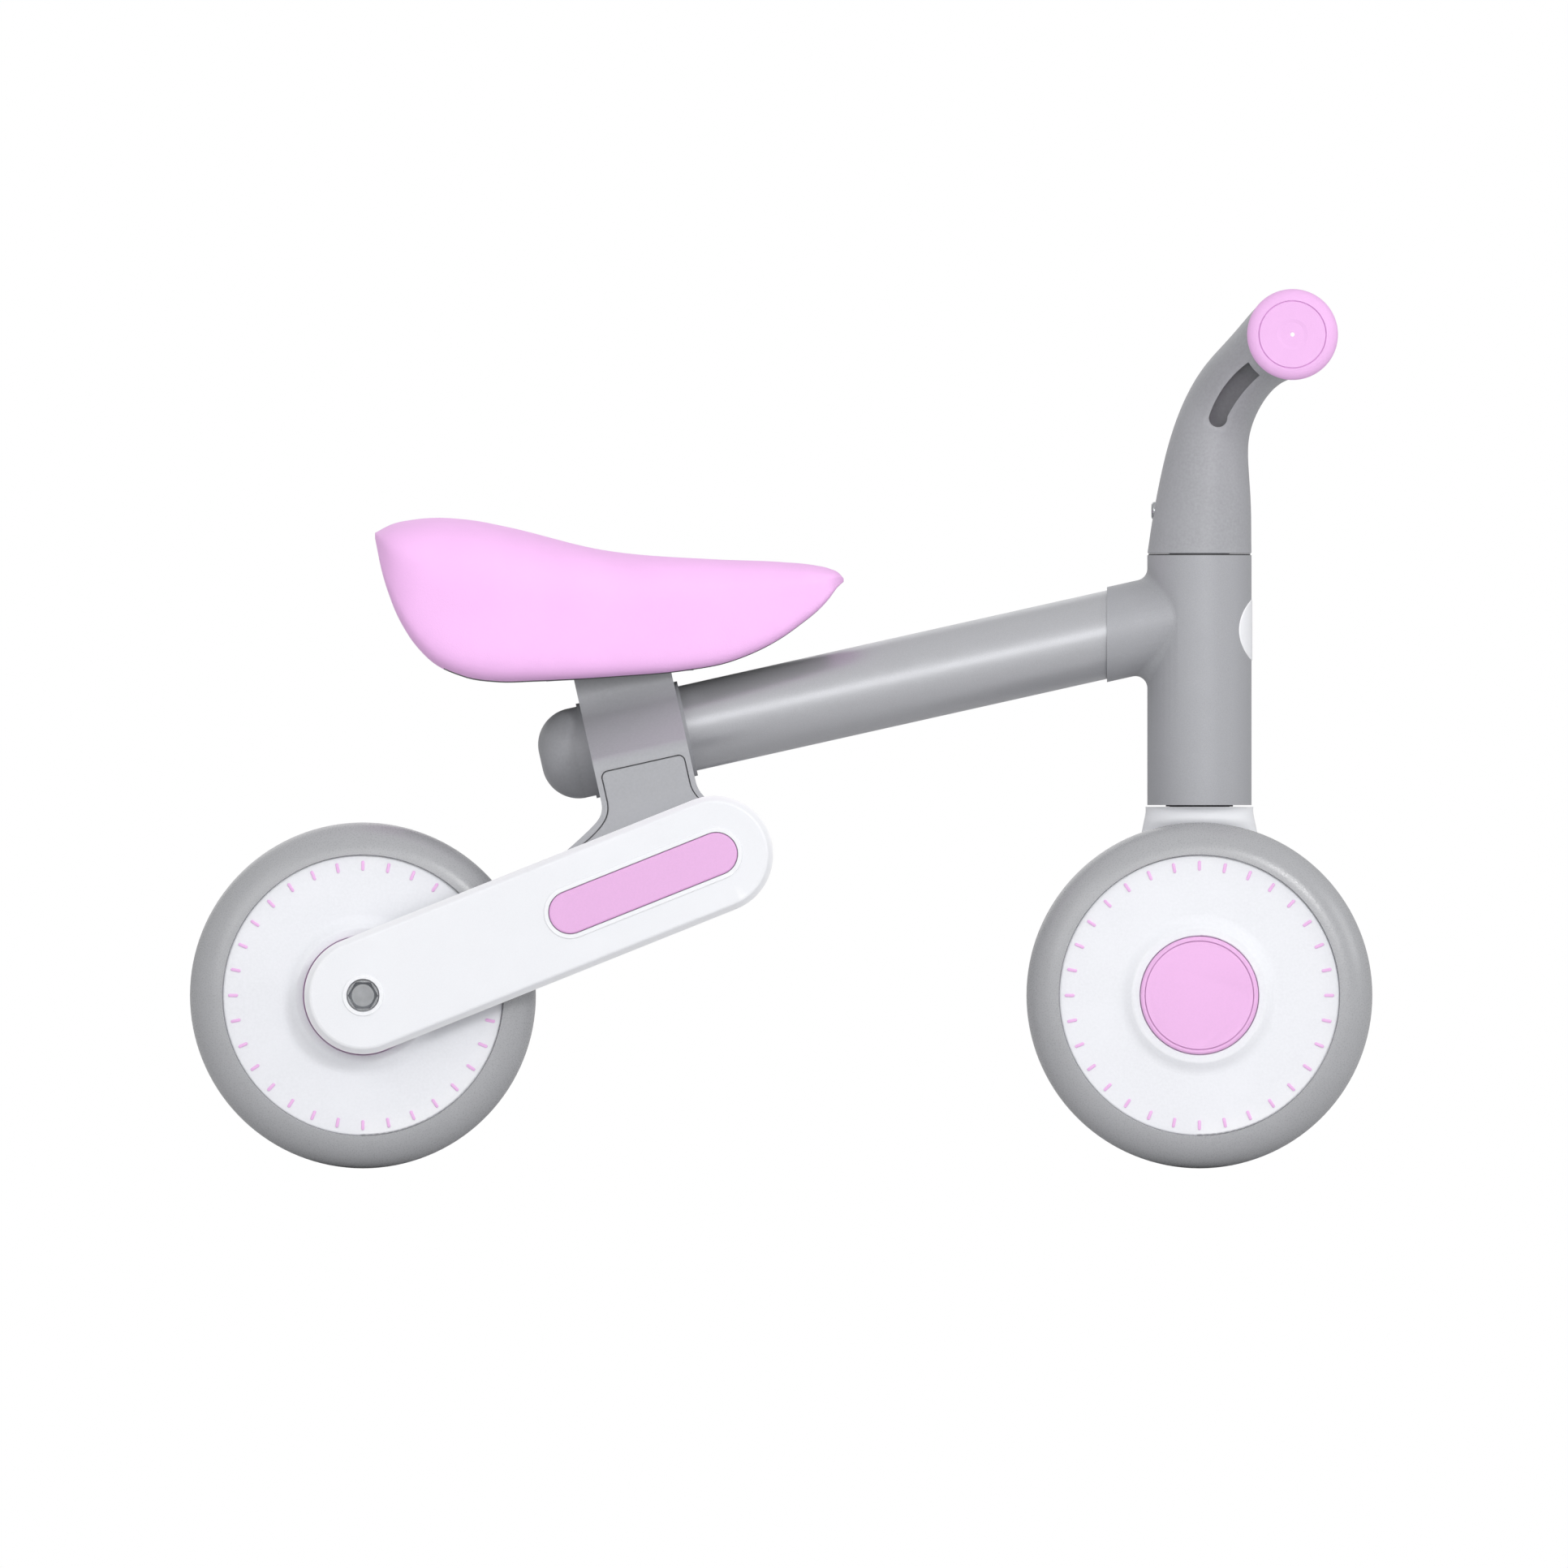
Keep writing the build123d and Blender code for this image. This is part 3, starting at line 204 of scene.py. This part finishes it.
def metal(name, colour, rough, squeeze=(1, 1, 1)):
    """Plated steel: drawn or turned lines, small stains in the plating."""
    n = Nodes(name)
    lines = n.noise(0.3 * MM, 2.0, 0.6, squeeze)
    stain = n.noise(5 * MM, 4.0, 0.6)
    base = n.ramp(stain, shade(colour, 0.86), shade(colour, 1.06))
    rough_map = n.ramp(lines, rough - 0.05, rough + 0.1)
    return n.done(base, rough_map, n.bump(lines, 0.004 * MM), Metallic=1.0)


PINK = (0.915, 0.52, 0.905)
GRIP_PINK = (0.80, 0.46, 0.79)
PINK_PLASTIC = (0.76, 0.43, 0.73)
GREY = (0.34, 0.345, 0.365)
TYRE_GREY = (0.36, 0.365, 0.38)
WHITE = (0.80, 0.81, 0.845)

# foam and moulded: colour, grain size, grain depth, roughness, spread of the speckle
# painted: colour, metallic, roughness; metal: colour, roughness, stretch of its lines
MATERIALS = {
    "tyre_foam": foam("tyre_foam", TYRE_GREY, 0.8 * MM, 0.03 * MM, 0.28, 0.09, Specular_IOR_Level=0.75),
    "wheel_white": moulded("wheel_white", WHITE, 0.9 * MM, 0.03 * MM, 0.55, 0.03),
    "white_plastic": moulded("white_plastic", (0.81, 0.82, 0.85), 0.5 * MM, 0.012 * MM, 0.42, 0.015),
    "pink_plastic": moulded("pink_plastic", PINK_PLASTIC, 0.5 * MM, 0.015 * MM, 0.45, 0.03),
    "grip_rubber": foam("grip_rubber", GRIP_PINK, 0.45 * MM, 0.02 * MM, 0.6, 0.025),
    "saddle_foam": foam("saddle_foam", PINK, 0.55 * MM, 0.035 * MM, 0.66, 0.03),
    "grey_paint": painted("grey_paint", (0.425, 0.43, 0.45), 0.45, 0.33),
    "grey_casting": painted("grey_casting", (0.335, 0.34, 0.36), 0.15, 0.5),
    "grey_plastic": moulded("grey_plastic", GREY, 0.8 * MM, 0.03 * MM, 0.46, 0.09),
    "black_nylon": moulded("black_nylon", (0.018, 0.018, 0.02), 0.5 * MM, 0.02 * MM, 0.5, 0.1),
    "black_steel": painted("black_steel", (0.02, 0.02, 0.022), 0.2, 0.4),
    "steel": metal("steel", (0.52, 0.53, 0.55), 0.34, (1, 6, 1)),
    "chrome_steel": metal("chrome_steel", (0.44, 0.45, 0.465), 0.15),
}

slots = {row["node"]: row["material_slot"] for row in frame["record"]["subparts"]}
for name, node in NODES.items():
    node.data.materials.clear()
    node.data.materials.append(MATERIALS[slots[name]])


# ---------------------------------------------------------------- pieces
def mesh_of(bm, name):
    """The finished mesh of a bmesh, which is freed."""
    mesh = bpy.data.meshes.new(name)
    bm.to_mesh(mesh)
    bm.free()
    return mesh


def bridge(bm, rings):
    """Faces between each ring of vertices and the next."""
    for a, b in zip(rings, rings[1:]):
        count = len(a)
        for k in range(count):
            bm.faces.new((a[k], a[(k + 1) % count], b[(k + 1) % count], b[k]))


def add_object(name, data):
    thing = bpy.data.objects.new(name, data)
    bpy.context.scene.collection.objects.link(thing)
    return thing


def new_piece(name, mesh, material):
    """A named mesh object with one material from MATERIALS."""
    piece = add_object(name, mesh)
    mesh.materials.append(MATERIALS[material])
    return piece


def smooth_piece(name, mesh, material, body):
    """A smooth-shaded piece that rides on a CAD body."""
    piece = new_piece(name, mesh, material)
    mesh.polygons.foreach_set("use_smooth", [True] * len(mesh.polygons))
    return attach(piece, body)


def curve_through(points, x):
    """Smooth value at x of a curve through (x, value) points."""
    i = 0
    while i < len(points) - 2 and x > points[i + 1][0]:
        i += 1
    (x1, v1), (x2, v2) = points[i], points[i + 1]
    x0, v0 = points[i - 1] if i else (2 * x1 - x2, 2 * v1 - v2)
    x3, v3 = points[i + 2] if i + 2 < len(points) else (2 * x2 - x1, 2 * v2 - v1)
    span = x2 - x1
    slope1 = ((v1 - v0) / (x1 - x0) * span + (v2 - v1) * (x1 - x0) / span) / (span + x1 - x0) * span
    slope2 = ((v2 - v1) / span * (x3 - x2) + (v3 - v2) / (x3 - x2) * span) / (span + x3 - x2) * span
    t = min(max((x - x1) / span, 0), 1)
    a, b = 2 * t**3 - 3 * t**2 + 1, t**3 - 2 * t**2 + t
    c, d = -2 * t**3 + 3 * t**2, t**3 - t**2
    return a * v1 + b * slope1 + c * v2 + d * slope2


# saddle outline in millimetres: (X, height) of its top and underside, (X, half width) in plan
SEAT_TOP = [
    (-171.4, 268.2), (-164.6, 271.7), (-155, 273.8), (-130.3, 273.5), (-116.6, 270.9), (-75.5, 261.0),
    (-27.6, 257.0), (-0.2, 255.9), (13.5, 254.6), (20.4, 253.1), (24.5, 251.1), (26.4, 248.9),
]
SEAT_UNDER = [
    (-171.4, 266.0), (-169, 254), (-164.6, 239.6), (-157.7, 225.6), (-150.9, 217), (-134, 207.3),
    (-120, 205.1), (-103, 205.4), (-68, 207.4), (-41.3, 209.8), (-20.7, 213.9), (6.7, 228.3),
    (20.4, 240.6), (23.8, 245.2), (26.4, 247.6),
]
SEAT_HALF = [(-132, 57.6), (-118, 57.2), (-75, 45.0), (-41, 34.0), (-7, 27.5), (8, 25.6), (16, 23.8)]
SEAT_REAR, SEAT_NOSE = SEAT_TOP[0][0], SEAT_TOP[-1][0]
REAR_POWER, NOSE_POWER = 4.2, 2.6  # how blunt the plan is at each end
UPPER_POWER, LOWER_POWER = 3.2, 9.0  # how boxy the section is above and below its middle
LEAN_IN = 0.015  # share of the width lost at the underside
CREASE_DEPTH, CREASE_WIDTH = 0.012, 1.2  # fold of the top skin over the wall: share of the width, mm
CREASE_DROP, CREASE_REAR_DROP = 5.0, 4.5  # how far it lies below the top, and how much more at the rear
CREASE_STARTS, CREASE_FULL = -90, 10  # X where it fades in
STATIONS, AROUND, END_GAP = 96, 96, 0.02  # rings along it, corners of each, tips to end rings
SPACING_POWER = 0.92  # packs the rings a little closer towards the nose
# painted shade: a black patch on the saddle's underside, which also keeps the pink foam from lighting the
# neck below
SHADE_PATCH_REAR, SHADE_PATCH_NOSE, SHADE_PATCH_SHARE = -142, 16, 0.76  # black underside: its ends, and share of the width


def seat_half(x):
    """Half width in plan: blunt behind and at the nose, waisted between."""
    for (start, half), end, power in (
        (SEAT_HALF[0], SEAT_REAR, REAR_POWER),
        (SEAT_HALF[-1], SEAT_NOSE, NOSE_POWER),
    ):
        share = (x - start) / (end - start)
        if share > 0:
            return half * (1 - share**power) ** (1 / power) if share < 1 else 0.0
    return curve_through(SEAT_HALF, x)


def seat_ring(bm, x):
    """Vertices of the saddle's section at x."""
    top, under, half = curve_through(SEAT_TOP, x), curve_through(SEAT_UNDER, x), seat_half(x)
    middle, tall = (top + under) / 2, (top - under) / 2
    ahead = min(max((x - CREASE_STARTS) / (CREASE_FULL - CREASE_STARTS), 0), 1)
    crease = top - CREASE_DROP - CREASE_REAR_DROP * (1 - ahead)
    ring = []
    for k in range(AROUND):
        angle = 2 * math.pi * (k + 0.5) / AROUND
        c, s = math.cos(angle), math.sin(angle)
        power = UPPER_POWER if s > 0 else LOWER_POWER
        reach = (abs(c) ** power + abs(s) ** power) ** (-1 / power)
        across, height = half * reach * c, middle + tall * reach * s
        low = max(0.0, (middle - height) / max(tall, 1e-6))
        across *= 1 - LEAN_IN * low**2
        across *= 1 - CREASE_DEPTH * ahead * math.exp(-(((height - crease) / CREASE_WIDTH) ** 2))
        ring.append(bm.verts.new((x * MM, across * MM, height * MM)))
    return ring


def make_seat():
    """Moulded foam saddle: blunt tail, waist and lifted nose, with a black patch under its middle as
    painted shade.
    """
    bm = bmesh.new()
    rings = []
    for i in range(STATIONS + 1):
        share = (0.5 - 0.5 * math.cos(math.pi * i / STATIONS)) ** SPACING_POWER
        x = SEAT_REAR + (SEAT_NOSE - SEAT_REAR) * share
        rings.append(seat_ring(bm, min(max(x, SEAT_REAR + END_GAP), SEAT_NOSE - END_GAP)))
    bridge(bm, rings)
    bm.faces.new(rings[0])
    bm.faces.new(reversed(rings[-1]))
    bmesh.ops.recalc_face_normals(bm, faces=bm.faces)
    # faces under the saddle's middle get black as painted shade
    for face in bm.faces:
        middle = face.calc_center_median() / MM
        beneath = face.normal.z < 0 and abs(middle.y) < SHADE_PATCH_SHARE * seat_half(middle.x)
        face.material_index = int(beneath and SHADE_PATCH_REAR < middle.x < SHADE_PATCH_NOSE)
    seat = smooth_piece("saddle", mesh_of(bm, "saddle"), "saddle_foam", "frame")
    seat.data.materials.append(MATERIALS["black_nylon"])
    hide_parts("seat_pad")


TICKS, TICK_RADIUS = 32, 54.75 * MM
TICK_FACE = 2.05 * MM  # how far the face that they stand on is behind the rim's outermost point
TICK_LENGTH, TICK_WIDTH, TICK_HEIGHT = 4.2 * MM, 1.3 * MM, 0.5 * MM
TICK_SECTION = [(0.0, 0.0), (0.0, 0.6), (0.12, 0.9), (0.35, 1.0)]  # (inset, rise) as shares
TICK_CORNERS = 16


def tick_mesh():
    """One raised bar with round ends and a soft top, lying along X on the XY plane."""
    bm = bmesh.new()
    rings = []
    for inset, rise in TICK_SECTION:
        radius = TICK_WIDTH / 2 * (1 - inset)
        run = TICK_LENGTH / 2 - TICK_WIDTH / 2
        ring = []
        for k in range(TICK_CORNERS):
            angle = 2 * math.pi * (k + 0.5) / TICK_CORNERS
            x = math.copysign(run, math.cos(angle)) + radius * math.cos(angle)
            ring.append(bm.verts.new((x, radius * math.sin(angle), TICK_HEIGHT * rise)))
        rings.append(ring)
    bridge(bm, rings)
    bm.faces.new(rings[-1])
    return mesh_of(bm, "tick")


def make_ticks(end, side):
    """Ring of raised pink marks on the outer face of one wheel."""
    out = 1 if side == "left" else -1
    low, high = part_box(f"{end}_rim_outer_{side}")
    centre = (low + high) / 2
    face = (high.y if out > 0 else low.y) - out * TICK_FACE
    hub = Matrix.Translation((centre.x, face, centre.z))
    stand = Matrix.Rotation(-out * math.pi / 2, 4, "X")
    tick = tick_mesh()
    bm = bmesh.new()
    for k in range(TICKS):
        start = len(bm.verts)
        bm.from_mesh(tick)
        bm.verts.ensure_lookup_table()
        turn = Matrix.Rotation(2 * math.pi * k / TICKS, 4, "Y")
        place = hub @ turn @ Matrix.Translation((TICK_RADIUS, 0, 0)) @ stand
        for vert in bm.verts[start:]:
            vert.co = place @ vert.co
    bpy.data.meshes.remove(tick)
    name = f"{end}_ticks_{side}"
    smooth_piece(name, mesh_of(bm, name), "pink_plastic", f"{end}_wheel_{side}")


BADGE_UP = 73.9 * MM  # from the bottom of the head tube to the badge's middle
BADGE_HALF_ARC, BADGE_HALF_HIGH, BADGE_THICK = 15.6 * MM, 13.0 * MM, 0.35 * MM
BADGE_SECTION = [  # (share of the half size, share of the thickness) from the middle to the edge
    (0.0, 1.0), (0.35, 1.0), (0.7, 1.0), (0.95, 1.0), (0.985, 0.8), (1.0, 0.35), (1.0, -0.3),
]
BADGE_CORNERS = 64


def make_badge():
    """A plain oval plate on the front of the head tube."""
    low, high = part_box("head_lug")
    tube = (high.y - low.y) / 2
    axis_x, middle = high.x - tube, low.z + BADGE_UP
    bm = bmesh.new()
    rings = []
    for share, rise in BADGE_SECTION:
        ring = []
        for k in range(BADGE_CORNERS):
            angle = 2 * math.pi * k / BADGE_CORNERS
            turn = share * BADGE_HALF_ARC * math.cos(angle) / tube
            radius = tube + BADGE_THICK * rise
            height = middle + share * BADGE_HALF_HIGH * math.sin(angle)
            ring.append(bm.verts.new((axis_x + radius * math.cos(turn), radius * math.sin(turn), height)))
        rings.append(ring)
    bridge(bm, rings)
    bmesh.ops.remove_doubles(bm, verts=bm.verts, dist=1e-6)
    bmesh.ops.recalc_face_normals(bm, faces=bm.faces)
    smooth_piece("head_badge", mesh_of(bm, "head_badge"), "white_plastic", "frame")


def make_spring():
    """The snap button's leaf spring, its long edges cut into shorter ones."""
    bm = bmesh.new()
    bm.from_mesh(NODES["button_spring"].data)
    bmesh.ops.remove_doubles(bm, verts=bm.verts, dist=1e-6)
    for _ in range(3):
        long_edges = [edge for edge in bm.edges if edge.calc_length() > 2 * MM]
        bmesh.ops.subdivide_edges(bm, edges=long_edges, cuts=1)
        bmesh.ops.triangulate(bm, faces=bm.faces)
    spring = new_piece("leaf_spring", mesh_of(bm, "leaf_spring"), "steel")
    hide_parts("button_spring")
    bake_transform(spring)


make_seat()
make_spring()
for wheel_end in ("front", "rear"):
    for wheel_side in ("left", "right"):
        make_ticks(wheel_end, wheel_side)
make_badge()


# ---------------------------------------------------------------- floor, light and camera
FLOOR_RADIUS, FLOOR_GAP = 6.0, 0.02 * MM  # the gap keeps the tyres clear of it


def make_floor():
    """Plain pale table top, faintly mottled."""
    n = Nodes("floor")
    colour = n.ramp(n.noise(4 * MM, 4.0), (0.64, 0.64, 0.645), (0.67, 0.67, 0.675))
    material = n.done(colour, n.ramp(n.noise(60 * MM, 3.0), 0.6, 0.75))
    bm = bmesh.new()
    bmesh.ops.create_circle(bm, cap_ends=True, radius=FLOOR_RADIUS, segments=96)
    floor = add_object("floor", mesh_of(bm, "floor"))
    floor.data.materials.append(material)
    floor.location.z = -FLOOR_GAP


def area_light(name, azimuth, elevation, width, height, power):
    """A soft box on a sphere round the bike, aimed at its middle."""
    turn, rise = math.radians(azimuth), math.radians(elevation)
    way = Vector((math.sin(turn) * math.cos(rise), -math.cos(turn) * math.cos(rise), math.sin(rise)))
    data = bpy.data.lights.new(name, "AREA")
    data.energy = power
    data.shape = "RECTANGLE"
    data.size, data.size_y = width, height
    lamp = add_object(name, data)
    lamp.location = AIM + way * LAMP_DISTANCE
    lamp.rotation_euler = way.to_track_quat("Z", "Y").to_euler()
    lamp.visible_camera = False


def make_world(dim, front, overhead, backdrop):
    """White backdrop for the camera; for everything else a studio that is brighter overhead and on
    the bike's right side (-Y) than on its left."""
    world = bpy.data.worlds.new("studio")
    world.use_nodes = True
    tree = world.node_tree
    tree.nodes.clear()
    link = tree.links.new

    def math_node(kind, first, second):
        node = tree.nodes.new("ShaderNodeMath")
        node.operation = kind
        for value, socket in ((first, node.inputs[0]), (second, node.inputs[1])):
            if isinstance(value, float):
                socket.default_value = value
            else:
                link(value, socket)
        return node.outputs[0]

    axes = tree.nodes.new("ShaderNodeSeparateXYZ")
    link(tree.nodes.new("ShaderNodeTexCoord").outputs["Generated"], axes.inputs[0])
    ahead = math_node("MULTIPLY", math_node("SUBTRACT", 1.0, axes.outputs["Y"]), front / 2)
    above = math_node("MULTIPLY", math_node("ADD", 1.0, axes.outputs["Z"]), overhead / 2)
    room = tree.nodes.new("ShaderNodeBackground")
    link(math_node("ADD", math_node("ADD", ahead, above), dim), room.inputs["Strength"])
    card = tree.nodes.new("ShaderNodeBackground")
    card.inputs["Strength"].default_value = backdrop
    for light in (room, card):
        light.inputs["Color"].default_value = (1, 1, 1, 1)
    mix = tree.nodes.new("ShaderNodeMixShader")
    link(tree.nodes.new("ShaderNodeLightPath").outputs["Is Camera Ray"], mix.inputs["Fac"])
    link(room.outputs[0], mix.inputs[1])
    link(card.outputs[0], mix.inputs[2])
    out = tree.nodes.new("ShaderNodeOutputWorld")
    link(mix.outputs[0], out.inputs["Surface"])
    bpy.context.scene.world = world


WORLD = {"dim": 0.25, "front": 0.15, "overhead": 0.46, "backdrop": 1.0}
AIM = Vector((0.0, 0.0, 0.17))
# azimuth in degrees from the bike's right (-Y) round to its front, elevation, width, height, watts
STUDIO = {
    "front_strip": (0, 11, 3.6, 0.8, 17.5),
    "right_box": (75, 20, 1.2, 1.2, 9),
    "left_box": (-35, 25, 1.2, 1.2, 4),
    "key": (21, 19, 0.4, 0.4, 13),
    "back_fill": (195, 28, 2.0, 2.0, 8),
}
VIEW_WIDTH, VIEW_MIDDLE_X, VIEW_MIDDLE_Z, CAMERA_DISTANCE = 0.66171, 0.0012, 0.16221, 3.0

make_floor()
make_world(**WORLD)
for light_name, facts in STUDIO.items():
    area_light(light_name, *facts)

camera = add_object("camera", bpy.data.cameras.new("camera"))
camera.data.type = "ORTHO"
camera.data.ortho_scale = VIEW_WIDTH
camera.location = (VIEW_MIDDLE_X, -CAMERA_DISTANCE, VIEW_MIDDLE_Z)
camera.rotation_euler = (math.radians(90), 0, 0)
camera.data.dof.use_dof = False
bpy.context.scene.camera = camera
bpy.context.scene.view_settings.view_transform = "Standard"
bpy.context.scene.view_settings.look = "None"
